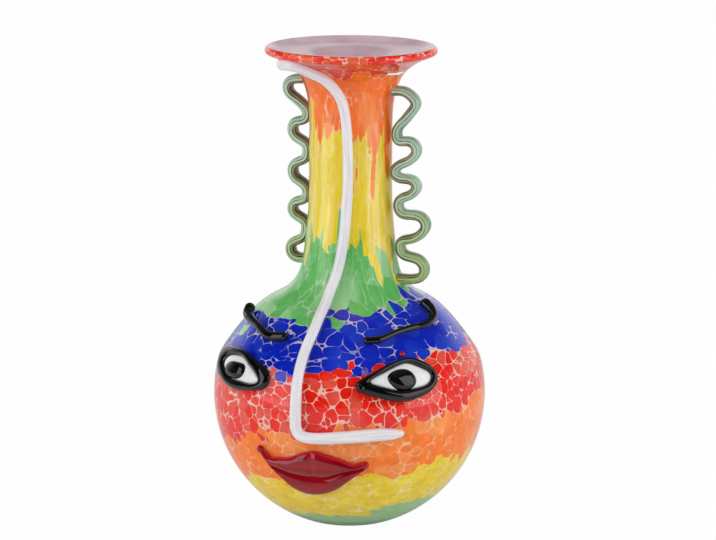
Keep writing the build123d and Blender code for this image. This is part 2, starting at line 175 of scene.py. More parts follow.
shoulderLine, flareLine = shoulderAndFlare()
edgeMiddle = sqrt((vessel["bodyRadius"] - vessel["baseEdge"]) ** 2
                  - (bodyMiddle - vessel["baseEdge"]) ** 2)
edgeAngle = np.degrees(np.arctan2(vessel["baseEdge"] - bodyMiddle, edgeMiddle))
bodyArc = arcPoints(bodyCentre, vessel["bodyRadius"], edgeAngle, vessel["shoulderAngle"], 240)
wallLine = np.concatenate([bodyArc[:-1], shoulderLine[:-1], flareLine])
wallWay = unit(np.gradient(wallLine, axis=0))


# Outside of the vessel at an azimuth (degrees from the face's middle) and height, lifted square
# off the glass: radius and slope are read from the section, then turned about the axis.
def onWall(azimuth, height, lift=0.0):
    azimuth, height, lift = np.broadcast_arrays(
        *[np.asarray(x, float) for x in (azimuth, height, lift)])
    radius = np.interp(height, wallLine[:, 1], wallLine[:, 0])
    outward = np.interp(height, wallLine[:, 1], wallWay[:, 1])
    upward = -np.interp(height, wallLine[:, 1], wallWay[:, 0])
    size = np.sqrt(outward**2 + upward**2)
    outward, upward = outward / size, upward / size
    turn = np.radians(azimuth)
    reach = radius + lift * outward
    return np.stack([reach * np.sin(turn), -reach * np.cos(turn), height + lift * upward], -1)


def wallNormal(azimuth, height):
    return onWall(azimuth, height, 1.0) - onWall(azimuth, height, 0.0)


def bodyHeight(share):
    return bodyMiddle + np.asarray(share) * vessel["bodyRadius"]


def neckHeight(share):
    return mixed(vessel["neckFoot"], vessel["height"], np.asarray(share))


def takeBack(work, mesh):
    bmesh.ops.recalc_face_normals(work, faces=work.faces)
    work.to_mesh(mesh)
    work.free()


# Mesh from a grid of points (rows by columns by xyz, millimetres), closed across either way.
def gridPiece(name, grid, closedRows=False, closedColumns=False, merge=True, attributes=None):
    rows, columns = grid.shape[:2]
    mesh = bpy.data.meshes.new(name)
    r = np.arange(rows if closedRows else rows - 1)
    c = np.arange(columns if closedColumns else columns - 1)
    r, c = np.meshgrid(r, c, indexing="ij")
    rn, cn = (r + 1) % rows, (c + 1) % columns
    quads = np.stack([r * columns + c, r * columns + cn, rn * columns + cn, rn * columns + c], -1)
    mesh.from_pydata((grid.reshape(-1, 3) * mm).tolist(), [], quads.reshape(-1, 4).tolist())
    for label, values in (attributes or {}).items():
        layer = mesh.attributes.new(label, "FLOAT_VECTOR", "POINT")
        layer.data.foreach_set("vector", values.reshape(-1).astype(np.float32))
    if merge:
        work = bmesh.new()
        work.from_mesh(mesh)
        bmesh.ops.remove_doubles(work, verts=work.verts, dist=2e-6)
        bmesh.ops.dissolve_degenerate(work, edges=work.edges, dist=1e-7)
        takeBack(work, mesh)
    mesh.polygons.foreach_set("use_smooth", [True] * len(mesh.polygons))
    mesh.update()
    piece = bpy.data.objects.new(name, mesh)
    bpy.context.scene.collection.objects.link(piece)
    return piece


# Material, slot and place in the frame of a finished piece; a drip has no solid of its own
def finishPiece(piece, material, solid=None):
    piece.data.materials.append(material)
    if solid:
        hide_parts(solid)
    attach(piece, "root")


# Section turned about the axis: (radius, height) becomes (radius sin, -radius cos, height).
def aboutAxis(radii, heights):
    turn = fullTurn(vessel["segments"])
    return stacked(radii[:, None] * np.sin(turn), -radii[:, None] * np.cos(turn), heights[:, None])


def turned(name, section, attributes=None):
    return gridPiece(name, aboutAxis(*section.T), closedColumns=True, attributes=attributes)


# Section of the coloured core. Its outside rises inside the casing and turns over in the lip,
# concentric with it; a deeper surface is the same line moved off by the depth. The lining's own
# face leaves the flare by a spline that joins the lip's round near its crest.
def colourSections():
    v = vessel
    core = v["bodyRadius"] - v["bodyCasing"]
    neckCore = v["neckRadius"] - v["neckCasing"]
    around = v["lipRadius"] - v["lipCasing"]
    points = [arcPoint(bodyCentre, core, v["shoulderAngle"])]
    for share in (0.12, 0.24, 0.34, 0.44, 0.54, 0.64, 0.78):
        casing = mixed(v["bodyCasing"], v["neckCasing"], share)
        points.append(movedOff(shoulderLine, -casing)[int(share * (len(shoulderLine) - 1))])
    points.append((neckCore, v["throat"]))
    points += [(mixed(neckCore, v["mouthRadius"], a), mixed(v["throat"], v["height"], b))
               for a, b in v["flareCore"]]
    points.append(arcPoint(lipMiddle, around, v["colourMeeting"]))
    rise = splineThrough(points, wayRound(v["shoulderAngle"]), wayRound(v["colourMeeting"]), 118)
    heelHeight = v["baseCasing"] + v["heelRadius"]
    heelAcross = sqrt((core - v["heelRadius"]) ** 2 - (bodyMiddle - heelHeight) ** 2)
    heelAngle = np.degrees(np.arctan2(heelHeight - bodyMiddle, heelAcross))

    def surface(inside, end=0.0):
        floorHeight = v["baseCasing"] + inside
        floor = np.stack([np.linspace(0, heelAcross, 5), np.full(5, floorHeight)], 1)
        heel = arcPoints((heelAcross, heelHeight), v["heelRadius"] - inside, -90, heelAngle, 9)
        body = arcPoints(bodyCentre, core - inside, heelAngle, v["shoulderAngle"], 50)
        lip = arcPoints(lipMiddle, around - inside, v["colourMeeting"], v["lipCrest"] + end, 16)
        return np.concatenate([floor[:-1], heel[:-1], body[:-1], movedOff(rise, -inside)[:-1], lip])

    def face(inside):
        low = surface(inside)
        flared = low[:, 0] * (low[:, 1] > v["throat"]) > v["liningLeaves"]
        low = low[:int(np.argmax(flared))]
        join = arcPoint(lipMiddle, v["lipRadius"], v["liningJoins"])
        joining = splineThrough([low[-1], join], unit(low[-1] - low[-2]), -wayRound(v["liningJoins"]), 7)
        lip = arcPoints(lipMiddle, v["lipRadius"], v["liningJoins"], v["lipCrest"], 9)
        return np.concatenate([low[:-1], joining[:-1], lip])

    return surface, face


colourSurface, liningFace = colourSections()


def link(tree, a, b):
    tree.links.new(a, b)


# Each socket linked to its value, or set to it where it is a constant
def feed(tree, sockets, values):
    for socket, value in zip(sockets, values):
        if isinstance(value, bpy.types.NodeSocket):
            tree.links.new(value, socket)
        else:
            socket.default_value = value


def mathNode(tree, operation, *values, clamp=False):
    node = tree.nodes.new("ShaderNodeMath")
    node.operation, node.use_clamp = operation, clamp
    feed(tree, node.inputs, values)
    return node.outputs[0]


def mixColour(tree, factor, a, b, blend="MIX"):
    node = tree.nodes.new("ShaderNodeMix")
    node.data_type, node.blend_type = "RGBA", blend
    feed(tree, (node.inputs["Factor"], node.inputs[6], node.inputs[7]), (factor, a, b))
    return node.outputs[2]


def rangeNode(tree, value, low, high, toLow=0.0, toHigh=1.0, smooth=False):
    node = tree.nodes.new("ShaderNodeMapRange")
    node.interpolation_type = "SMOOTHSTEP" if smooth else "LINEAR"
    sockets = [node.inputs[name] for name in ("Value", "From Min", "From Max", "To Min", "To Max")]
    feed(tree, sockets, (value, low, high, toLow, toHigh))
    return node.outputs["Result"]


# Screen colour, 0 to 255, as the linear one that sockets take
def screenColour(r, g, b):
    values = [c / 255 for c in (r, g, b)]
    return [c / 12.92 if c <= 0.04045 else ((c + 0.055) / 1.055) ** 2.4 for c in values] + [1.0]


def setInputs(node, values):
    for label, value in values.items():
        node.inputs[label].default_value = value


def noiseNode(tree, vector, scale, detail=2.0):
    node = tree.nodes.new("ShaderNodeTexNoise")
    setInputs(node, {"Scale": scale, "Detail": detail})
    link(tree, vector, node.inputs["Vector"])
    return node


# Noise on coordinates stretched by a scale each
def stretchedNoise(tree, vector, scale, detail):
    node = tree.nodes.new("ShaderNodeMapping")
    setInputs(node, {"Scale": scale})
    link(tree, vector, node.inputs["Vector"])
    return noiseNode(tree, node.outputs[0], 1.0, detail).outputs["Fac"]


def attributeVector(tree, name):
    node = tree.nodes.new("ShaderNodeAttribute")
    node.attribute_name = name
    return node.outputs["Vector"]


def partsOf(tree, vector):
    node = tree.nodes.new("ShaderNodeSeparateXYZ")
    link(tree, vector, node.inputs[0])
    return node.outputs


# Colour ramp with a stop at each share of the factor
def rampNode(tree, factor, stops, interpolation="LINEAR"):
    node = tree.nodes.new("ShaderNodeValToRGB")
    ramp = node.color_ramp
    ramp.interpolation = interpolation
    ramp.elements.remove(ramp.elements[-1])
    for share, colour in stops:
        stop = ramp.elements.new(share) if share > 0 else ramp.elements[0]
        stop.color = colour
    link(tree, factor, node.inputs["Fac"])
    return node


# Gentle unevenness of hand-worked glass, shared by all of them: soft noise as a height
def handWorkedGroup():
    group = bpy.data.node_groups.new("handWorked", "ShaderNodeTree")
    for name in ("Size", "Depth"):
        group.interface.new_socket(name, in_out="INPUT", socket_type="NodeSocketFloat")
    group.interface.new_socket("Normal", in_out="OUTPUT", socket_type="NodeSocketVector")
    start, end = group.nodes.new("NodeGroupInput"), group.nodes.new("NodeGroupOutput")
    place = group.nodes.new("ShaderNodeTexCoord")
    noise = noiseNode(group, place.outputs["Object"], 1.0, 1.0)
    link(group, start.outputs["Size"], noise.inputs["Scale"])
    bump = group.nodes.new("ShaderNodeBump")
    setInputs(bump, {"Strength": 1.0})
    link(group, noise.outputs["Fac"], bump.inputs["Height"])
    link(group, start.outputs["Depth"], bump.inputs["Distance"])
    link(group, bump.outputs["Normal"], end.inputs["Normal"])
    return group


handWorked = handWorkedGroup()


def newMaterial(name):
    material = bpy.data.materials.new(name)
    material.use_nodes = True
    return material, material.node_tree, material.node_tree.nodes["Principled BSDF"]


# Surface that shows the second shader where the factor is 1
def showMixed(tree, factor, first, second):
    mix = tree.nodes.new("ShaderNodeMixShader")
    for socket, value in zip(mix.inputs, (factor, first.outputs[0], second.outputs[0])):
        link(tree, value, socket)
    link(tree, mix.outputs[0], tree.nodes["Material Output"].inputs["Surface"])


def addUneven(tree, shader, size, depth):
    node = tree.nodes.new("ShaderNodeGroup")
    node.node_tree = handWorked
    setInputs(node, {"Size": size, "Depth": depth})
    link(tree, node.outputs["Normal"], shader.inputs["Normal"])


def finishGlass(material, shader, colour, values):
    link(material.node_tree, colour, shader.inputs["Base Color"])
    setInputs(shader, values)
    return material


# Clear casing: plain glass to the eye, and open to the light that reaches the colour below it
def clearGlass(name, tint):
    material, tree, shader = newMaterial(name)
    setInputs(shader, {"Base Color": tint, "Roughness": 0.0, "IOR": 1.5, "Transmission Weight": 1.0})
    addUneven(tree, shader, 22.0, 0.00025)
    rays = tree.nodes.new("ShaderNodeLightPath")
    through = mathNode(tree, "MAXIMUM", rays.outputs["Is Shadow Ray"], rays.outputs["Is Diffuse Ray"])
    showMixed(tree, through, shader, tree.nodes.new("ShaderNodeBsdfTransparent"))
    return material


flecks = {
    # real width and length of a fleck (mm) at heights up the wall (mm)
    "sizes": [
        (0, 8.6, 8.0), (80, 8.6, 8.6), (125, 8.8, 9.5), (150, 10.5, 12.5), (175, 11.0, 19.0),
        (200, 7.0, 36.0), (230, 4.6, 46.0), (300, 3.5, 38.0), (335, 4.3, 28.0), (358, 6.4, 15.0),
        (376, 10.0, 9.0)],
    # bands from the base up: start (mm), colour, paler colour, how strongly the pale gaps show
    "bands": [
        (0, (152, 198, 146), (162, 206, 156), 0.0), (19, (238, 206, 34), (242, 218, 72), 0.5),
        (53, (252, 124, 32), (251, 146, 68), 0.34), (94, (238, 34, 20), (232, 84, 68), 0.92),
        (138, (10, 38, 186), (30, 58, 194), 0.5), (176, (100, 186, 98), (156, 210, 150), 0.18),
        (245, (238, 208, 30), (242, 220, 112), 0.3), (328, (252, 116, 24), (250, 148, 76), 0.34),
        (366, (238, 40, 28), (240, 96, 60), 0.9)],
    "randomness": 0.85, "smoothness": 0.5,
    # bendings of the cells: scale, detail and reach in flecks
    "wobbles": [(0.5, 2.0, 0.9), (2.6, 1.0, 0.16)],
    # pale gaps: colour, share of the band's paler one in it, width and soft edge (in flecks), then
    # the scale of the noise that widens and opens them, and where it does
    "gap": (244, 226, 210), "gapTint": 0.35, "gapAt": (0.044, 0.066), "gapEdge": (-0.007, 0.005),
    "gapScale": 0.55, "gapWidens": (0.36, 0.64), "gapOpens": (0.42, 0.58),
    # how far single flecks stray from their band (in flecks), and how few do
    "stray": 0.7, "strayPower": 4.0,
    # lean of the bands on body and neck (mm up for a fleck across), and heights where it turns, ends
    "tilt": (1.2, -1.6), "tiltTurns": (190.0, 235.0), "tiltEnds": (330.0, 350.0),
    # slow wander of the borders, mm
    "drift": 16.0, "driftScale": 0.16,
    # paler patches: scale, place in the noise, chance of each fleck, where they turn pale
    "patchScale": 0.22, "patchPlace": (40.0, 11.0, 7.0), "patchChance": 0.34, "paleAt": (0.47, 0.66),
    "mottleScale": 1.6, "mottle": (0.88, 1.08),
    # pale streaks up the neck: stretch, threshold, height shares where they set in, strength
    "streakStretch": (4.5, 4.5, 0.7), "streakAt": (0.5, 0.66), "streakRise": (0.46, 0.6), "streaks": 0.55,
}


# Coloured flecks: Voronoi cells in the "flow" coordinates, where one unit is one fleck, so that
# they draw out into streaks where the glass is pulled thin. The gaps lie where the smoothed
# distance falls below the true one, which rounds the flecks' corners. Each fleck takes the band
# of its own middle's height, moved by chance, and a few stray further.
def fleckedGlass():
    f = flecks
    material, tree, shader = newMaterial("fleckedGlass")
    flow = attributeVector(tree, "flow")
    bent = flow
    for scale, detail, reach in f["wobbles"]:
        shift = tree.nodes.new("ShaderNodeVectorMath")
        shift.operation = "MULTIPLY_ADD"
        link(tree, noiseNode(tree, flow, scale, detail).outputs["Color"], shift.inputs[0])
        shift.inputs[1].default_value = (reach, reach, reach)
        link(tree, bent, shift.inputs[2])
        bent = shift.outputs[0]
    cells, softened = [tree.nodes.new("ShaderNodeTexVoronoi") for _ in range(2)]
    cells.feature, softened.feature = "F1", "SMOOTH_F1"
    setInputs(softened, {"Smoothness": f["smoothness"]})
    for node in (cells, softened):
        node.voronoi_dimensions = "3D"
        setInputs(node, {"Scale": 1.0, "Randomness": f["randomness"]})
        link(tree, bent, node.inputs["Vector"])
    middle = partsOf(tree, cells.outputs["Position"])
    random = tree.nodes.new("ShaderNodeSeparateColor")
    link(tree, cells.outputs["Color"], random.inputs[0])

    # share of the vase's height that gives each fleck its band
    chance = mathNode(tree, "MULTIPLY_ADD", random.outputs["Red"], 2.0, -1.0)
    few = mathNode(tree, "POWER", mathNode(tree, "ABSOLUTE", chance), f["strayPower"])
    strays = mathNode(tree, "MULTIPLY", few, chance)
    height = heightOfFlow(tree, mathNode(tree, "MULTIPLY_ADD", strays, f["stray"], middle["Z"]))
    lean = rangeNode(tree, height, *f["tiltTurns"], -f["tilt"][0], -f["tilt"][1])
    lean = mathNode(tree, "MULTIPLY", lean, rangeNode(tree, height, *f["tiltEnds"], 1.0, 0.0))
    tilted = mathNode(tree, "ADD", mathNode(tree, "MULTIPLY", middle["X"], lean), height)
    drift = noiseNode(tree, flow, f["driftScale"], 1.0)
    level = mathNode(tree, "MULTIPLY_ADD", drift.outputs["Fac"], 2 * f["drift"], tilted)
    level = mathNode(tree, "SUBTRACT", level, f["drift"])
    share = mathNode(tree, "DIVIDE", level, vessel["height"], clamp=True)
    full = bandRamp(tree, share, [(z, colour, gap) for z, colour, _, gap in f["bands"]])
    thin = bandRamp(tree, share, [(z, pale, gap) for z, _, pale, gap in f["bands"]])

    # colour of the fleck: full or paler by patches, cloudy, and streaked on the neck
    moved = tree.nodes.new("ShaderNodeVectorMath")
    moved.operation = "ADD"
    link(tree, flow, moved.inputs[0])
    moved.inputs[1].default_value = f["patchPlace"]
    patches = noiseNode(tree, moved.outputs[0], f["patchScale"], 1.0)
    own = mathNode(tree, "MULTIPLY_ADD", random.outputs["Green"], f["patchChance"], -f["patchChance"] / 2)
    patchy = mathNode(tree, "ADD", patches.outputs["Fac"], own)
    pale = rangeNode(tree, patchy, *f["paleAt"], smooth=True)
    cell = mixColour(tree, pale, full.outputs["Color"], thin.outputs["Color"])
    mottle = noiseNode(tree, flow, f["mottleScale"], 3.0)
    tone = rangeNode(tree, mottle.outputs["Fac"], 0.3, 0.7, *f["mottle"])
    cell = mixColour(tree, 1.0, cell, tone, "MULTIPLY")
    streaks = stretchedNoise(tree, flow, f["streakStretch"], 2.0)
    onNeck = rangeNode(tree, share, *f["streakRise"], 0.0, f["streaks"])
    streaky = mathNode(tree, "MULTIPLY", rangeNode(tree, streaks, *f["streakAt"], smooth=True), onNeck)
    cell = mixColour(tree, streaky, cell, thin.outputs["Color"])

    # gaps between the flecks
    opening = noiseNode(tree, bent, f["gapScale"]).outputs["Fac"]
    meeting = rangeNode(tree, opening, *f["gapWidens"], f["gapAt"][1], f["gapAt"][0])
    rounded = mathNode(tree, "SUBTRACT", cells.outputs["Distance"], softened.outputs["Distance"])
    between = rangeNode(tree, mathNode(tree, "SUBTRACT", rounded, meeting), *f["gapEdge"], smooth=True)
    opened = rangeNode(tree, opening, *f["gapOpens"], smooth=True)
    strength = mathNode(tree, "MULTIPLY_ADD", full.outputs["Alpha"], 2.0, -1.0)
    shown = mathNode(tree, "ADD", strength, opened, clamp=True)
    gapColour = mixColour(tree, f["gapTint"], screenColour(*f["gap"]), thin.outputs["Color"])
    colour = mixColour(tree, mathNode(tree, "MULTIPLY", between, shown), cell, gapColour)
    return finishGlass(material, shader, colour, {"Roughness": 0.5, "Specular IOR Level": 0.0})


# Flow coordinates of a section: its radius over the width of a fleck there, and its length added
# up in lengths of a fleck
def flowCoordinates(section):
    heights, widths, lengths = np.array(flecks["sizes"]).T
    steps = np.linalg.norm(np.diff(section, axis=0), axis=1)
    middles = (section[:-1, 1] + section[1:, 1]) / 2
    along = np.r_[0, np.cumsum(steps / np.interp(middles, heights, lengths))]
    return section[:, 0] / np.interp(section[:, 1], heights, widths), along


outerColour = colourSurface(0.0)
innerColour = colourSurface(vessel["colourThickness"])
flowRadius, flowHeight = flowCoordinates(outerColour)
flowTop = float(flowHeight[-1])


# Colour ramp in steps, one for each band; its alpha carries the strength of the gaps
def bandRamp(tree, share, bands):
    stops = [(height / vessel["height"], screenColour(*colour)[:3] + [gap]) for height, colour, gap in bands]
    return rampNode(tree, share, stops, "CONSTANT")


# Real height of a flow height: a curve through stations of the colour's section
def heightOfFlow(tree, value):
    node = tree.nodes.new("ShaderNodeFloatCurve")
    curve = node.mapping.curves[0]
    stations = np.linspace(0, len(flowHeight) - 1, 25).astype(int)
    heights = outerColour[stations, 1] / vessel["height"]
    flows = flowHeight[stations] / flowTop
    for flow, height in list(zip(flows, heights))[1:-1]:
        curve.points.new(float(flow), float(height))
    for end in (0, -1):
        curve.points[end].location = float(flows[end]), float(heights[end])
    for point in curve.points:
        point.handle_type = "VECTOR"
    node.mapping.update()
    link(tree, mathNode(tree, "DIVIDE", value, flowTop), node.inputs["Value"])
    return mathNode(tree, "MULTIPLY", node.outputs["Value"], vessel["height"])


def makeVessel():
    v = vessel
    hollowBall = (v["hollowRadius"] ** 2 + v["hollowDepth"] ** 2) / (2 * v["hollowDepth"])
    across = np.linspace(0, v["hollowRadius"], 8)
    hollow = np.stack([across, v["hollowDepth"] - hollowBall + np.sqrt(hollowBall**2 - across**2)], 1)
    edge = arcPoints((edgeMiddle, v["baseEdge"]), v["baseEdge"], -90, edgeAngle, 9)
    lip = arcPoints(lipMiddle, v["lipRadius"], v["lipMeeting"], v["lipCrest"], 24)
    runOn, fallShort, gap = 6.0, -8.0, 0.02  # degrees past and short of the lip's crest, and mm
    hidden = colourSurface(v["colourThickness"] / 2, runOn)[::-1]
    wall = np.concatenate([bodyArc[:-1:3], shoulderLine[:-1:5], flareLine[:-1:3]])
    section = np.concatenate([hollow, edge[:-1], wall, lip, hidden[::3], hidden[-1:]])
    casing = turned("clearCasingGlass", section)
    finishPiece(casing, clearGlass("clearGlass", (0.97, 0.985, 0.98, 1)), "clear_casing")

    section = np.concatenate([outerColour, innerColour[::-1]])
    innerRadius, innerHeight = flowCoordinates(innerColour)
    flow = aboutAxis(np.r_[flowRadius, innerRadius[::-1]], np.r_[flowHeight, innerHeight[::-1]])
    frit = turned("colourFlecks", section, {"flow": flow})
    finishPiece(frit, fleckedGlass(), "frit_layer")

    outside = colourSurface(v["colourThickness"] + gap, fallShort)
    inside = liningFace(v["colourThickness"] + v["liningThickness"])
    lining = turned("opalLining", np.concatenate([outside, inside[::-1]]))
    finishPiece(lining, opalGlass(), "inner_lining")


# Opal lining: greyish pink in two tones, clouded into each other
def opalGlass():
    material, tree, shader = newMaterial("opalGlass")
    place = tree.nodes.new("ShaderNodeTexCoord")
    noise = noiseNode(tree, place.outputs["Object"], 45.0, 3.0)
    tone = rangeNode(tree, noise.outputs["Fac"], 0.35, 0.7)
    colour = mixColour(tree, tone, screenColour(204, 172, 181), screenColour(220, 194, 200))
    return finishGlass(material, shader, colour, {"Roughness": 0.24})


makeVessel()
print("vessel: casing, flecks and lining turned")


# Trails of opaque glass: rings round a path along the wall, square to it, closed by round ends.
# Ring = middle + radius (cos * wall normal + sin * side). Radii are spaced evenly along the path,
# or come with the share of it where each one lies.
def trail(name, azimuths, heights, lift, radii, count, around):
    places = smoothLine(np.stack([azimuths, heights], 1), count)
    along = np.linspace(0, 1, count)
    lifts = np.interp(along, np.linspace(0, 1, np.size(lift)), np.atleast_1d(lift))
    path = onWall(places[:, 0], places[:, 1], lifts)
    shares, sizes = np.transpose(radii) if np.ndim(radii) == 2 else (np.linspace(0, 1, len(radii)), radii)
    radius = np.interp(along, shares, sizes)
    way = unit(np.gradient(path, axis=0))
    side = unit(np.cross(way, wallNormal(places[:, 0], places[:, 1])))
    up = np.cross(side, way)
    lean = np.linspace(-pi / 2, 0, 9)[:-1]
    path = np.concatenate([path[:1] + radius[0] * np.sin(lean)[:, None] * way[:1], path,
                           path[-1:] - radius[-1] * np.sin(lean[::-1])[:, None] * way[-1:]])
    radius = np.concatenate([radius[0] * np.cos(lean), radius, radius[-1] * np.cos(lean[::-1])])
    radius = np.maximum(radius, 1e-4)
    side, up = [np.concatenate([np.repeat(v[:1], len(lean), 0), v, np.repeat(v[-1:], len(lean), 0)])
                for v in (side, up)]
    turn = fullTurn(around)
    grid = path[:, None] + radius[:, None, None] * (
        np.cos(turn)[None, :, None] * up[:, None] + np.sin(turn)[None, :, None] * side[:, None])
    strand = stacked(np.cos(turn), np.sin(turn), lengthsOf(path)[:, None])
    return gridPiece(name, grid, closedColumns=True, attributes={"strand": strand})


# Opaque glass drawn in a rod: faint streaks of a second colour along it and, where the strand's
# Y is low, a brighter one for glass that lies thin
def rodGlass(name, colour, second, amount, roughness, thin=None):
    material, tree, shader = newMaterial(name)
    strand = attributeVector(tree, "strand")
    streaks = stretchedNoise(tree, strand, (2.2, 2.2, 0.035), 3.0)
    shade = mixColour(tree, rangeNode(tree, streaks, 0.35, 0.68, 0.0, amount), colour, second)
    if thin:
        edge = rangeNode(tree, partsOf(tree, strand)["Y"], 0.0, 1.3, 0.9, 0.0, smooth=True)
        shade = mixColour(tree, edge, shade, thin)
    addUneven(tree, shader, 90.0, 0.0003)
    return finishGlass(material, shader, shade, {"Roughness": roughness, "IOR": 1.52})


whiteGlass = rodGlass("whiteGlass", screenColour(240, 238, 240), screenColour(214, 210, 218), 0.8, 0.16)
eyeGlass = rodGlass("eyeGlass", screenColour(236, 236, 238), screenColour(222, 220, 224), 0.6, 0.14)
blackGlass = rodGlass("blackGlass", screenColour(4, 4, 5), screenColour(14, 13, 15), 1.0, 0.02)
redGlass = rodGlass("redGlass", screenColour(158, 8, 28), screenColour(116, 2, 16), 1.0, 0.03,
                    screenColour(206, 24, 48))

nose = {
    "lift": 2.2,  # mm from the wall to the trail's middle
    # azimuth in degrees with height as a share of the neck, then of the body's radius
    "neck": [
        (-46.5, 0.93), (-36.0, 0.938), (-28.5, 0.93), (-21.5, 0.894), (-13.5, 0.86), (-6.0, 0.812),
        (1.0, 0.755), (6.0, 0.69), (9.4, 0.6), (12.0, 0.44), (12.8, 0.3), (12.2, 0.15), (10.4, 0.02)],
    "body": [
        (7.6, 1.185), (3.6, 1.027), (-0.6, 0.91), (-3.2, 0.83), (-3.8, 0.745), (-4.2, 0.62), (-5.8, 0.5),
        (-6.4, 0.38), (-6.2, 0.26), (-6.0, 0.13), (-5.9, 0.02), (-5.4, -0.045), (-3.4, -0.083),
        (1.5, -0.094), (10.0, -0.083), (20.0, -0.07), (29.0, -0.062), (36.9, -0.064)],
    "radii": [
        (0, 4.8), (0.05, 4.4), (0.12, 4.1), (0.2, 4.0), (0.28, 3.9), (0.4, 4.1), (0.5, 4.2), (0.6, 4.1),
        (0.7, 4.1), (0.76, 4.0), (0.8, 4.3), (0.84, 4.5), (0.9, 4.4), (0.955, 5.0), (0.98, 4.9),
        (0.992, 4.1), (1, 2.7)],
}


def makeNose():
    places = [(a, float(neckHeight(s))) for a, s in nose["neck"]]
    places += [(a, float(bodyHeight(s))) for a, s in nose["body"]]
    a, z = np.array(places).T
    piece = trail("noseTrail", a, z, nose["lift"], nose["radii"], count=520, around=40)
    finishPiece(piece, whiteGlass, "nose_trail")


makeNose()

brows = {
    "right": {
        "lift": 1.4,
        "places": [
            (25.4, 0.555), (31.6, 0.556), (38.0, 0.576), (45.5, 0.595), (52.0, 0.603), (59.0, 0.606),
            (66.0, 0.608), (73.0, 0.622), (78.3, 0.645), (81.0, 0.672), (82.6, 0.7)],
        "radii": [3.1, 2.8, 2.5, 2.4, 2.4, 2.5, 2.6, 2.7, 2.7, 2.9, 3.6, 4.5],
    },
    "left": {
        "lift": [1.9, 1.9, 1.9, 1.9, 2.0, 2.2, 2.6, 3.4, 4.6],
        "places": [
            (-21.0, 0.545), (-25.5, 0.535), (-30.8, 0.533), (-36.5, 0.546), (-43.5, 0.566), (-51.5, 0.577),
            (-58.5, 0.582), (-64.5, 0.594), (-66.5, 0.612)],
        "radii": [3.5, 3.9, 3.7, 3.3, 3.1, 3.0, 3.3, 3.8, 3.9, 4.3],
    },
}


def makeBrow(side):
    data = brows[side]
    a, s = np.array(data["places"]).T
    piece = trail(side + "Brow", a, bodyHeight(s), data["lift"], data["radii"], count=180, around=32)
    finishPiece(piece, blackGlass, side + "_brow")


for side in ("right", "left"):
    makeBrow(side)
print("nose and brows laid")

eyes = {
    "right": {
        "rim": [
            (18.4, 0.28), (24.0, 0.345), (31.0, 0.391), (38.5, 0.425), (45.8, 0.432), (52.0, 0.396),
            (56.2, 0.335), (56.0, 0.265), (52.0, 0.205), (45.0, 0.167), (37.0, 0.156), (29.0, 0.188),
            (22.0, 0.225)],
        "white": [
            (24.4, 0.303), (29.5, 0.349), (36.5, 0.387), (43.0, 0.405), (49.0, 0.37), (53.7, 0.315),
            (51.0, 0.255), (44.5, 0.238), (37.0, 0.236), (30.0, 0.265)],
        "pupil": [
            (31.9, 0.328), (36.6, 0.369), (42.0, 0.367), (45.7, 0.3), (43.4, 0.244), (38.0, 0.232),
            (33.3, 0.272)],
    },
    "left": {
        "rim": [
            (-66.5, 0.345), (-61.0, 0.385), (-53.0, 0.4), (-44.5, 0.409), (-36.5, 0.398), (-29.0, 0.368),
            (-22.6, 0.335), (-20.3, 0.27), (-22.6, 0.205), (-31.0, 0.17), (-39.5, 0.148), (-47.5, 0.158),
            (-54.5, 0.185), (-60.5, 0.225), (-64.0, 0.285)],
        "white": [
            (-55.5, 0.29), (-53.5, 0.34), (-48.5, 0.362), (-42.0, 0.372), (-35.2, 0.343), (-29.0, 0.3),
            (-25.6, 0.248), (-29.5, 0.22), (-37.0, 0.215), (-44.0, 0.212), (-50.5, 0.242)],
        "pupil": [
            (-50.4, 0.277), (-48.0, 0.318), (-42.5, 0.333), (-35.5, 0.325), (-34.2, 0.28), (-36.5, 0.235),
            (-41.5, 0.216), (-47.5, 0.226)],
    },
    "rimHeight": 3.6, "whiteHeight": 1.9, "pupilHeight": 5.0, "around": 160, "sunk": 0.6,
}


# Outline as a closed curve that starts straight above its middle, as (azimuth, height) pairs
def closedOutline(places, count, middle):
    a, s = np.array(places).T
    line = smoothLine(np.stack([a, bodyHeight(s)], 1), 1600, closed=True)
    angle = np.unwrap(np.arctan2(line[:, 1] - middle[1], line[:, 0] - middle[0]))
    if angle[-1] < angle[0]:
        line, angle = line[::-1], angle[::-1]
    turn = fullTurn(count)
    wrapped = (angle - angle[0]) % (2 * pi)
    order = np.argsort(wrapped)
    wanted = (turn - angle[0]) % (2 * pi)
    return np.stack([np.interp(wanted, wrapped[order], c[order], period=2 * pi) for c in line.T], 1)


# Band between two outlines: across it the height is that of a half round, and its foot is sunk
# a little into the wall. Closed under the foot.
def roundBand(name, outer, inner, height, sunk, across=16):
    lean = np.linspace(0, pi, across)
    share = (1 - np.cos(lean)) / 2
    lift = np.sin(lean) ** 0.8 * (height + sunk) - sunk
    share = np.r_[share, 0.75, 0.25]
    lift = np.r_[lift, -sunk, -sunk]
    places = outer[None] + (inner - outer)[None] * share[:, None, None]
    grid = onWall(places[..., 0], places[..., 1], np.repeat(lift[:, None], len(outer), 1))
    turn = fullTurn(len(outer))
    strand = stacked(np.cos(turn) * 3, np.sin(turn) * 3, share[:, None] * 8)
    return gridPiece(name, grid, closedRows=True, closedColumns=True, attributes={"strand": strand})


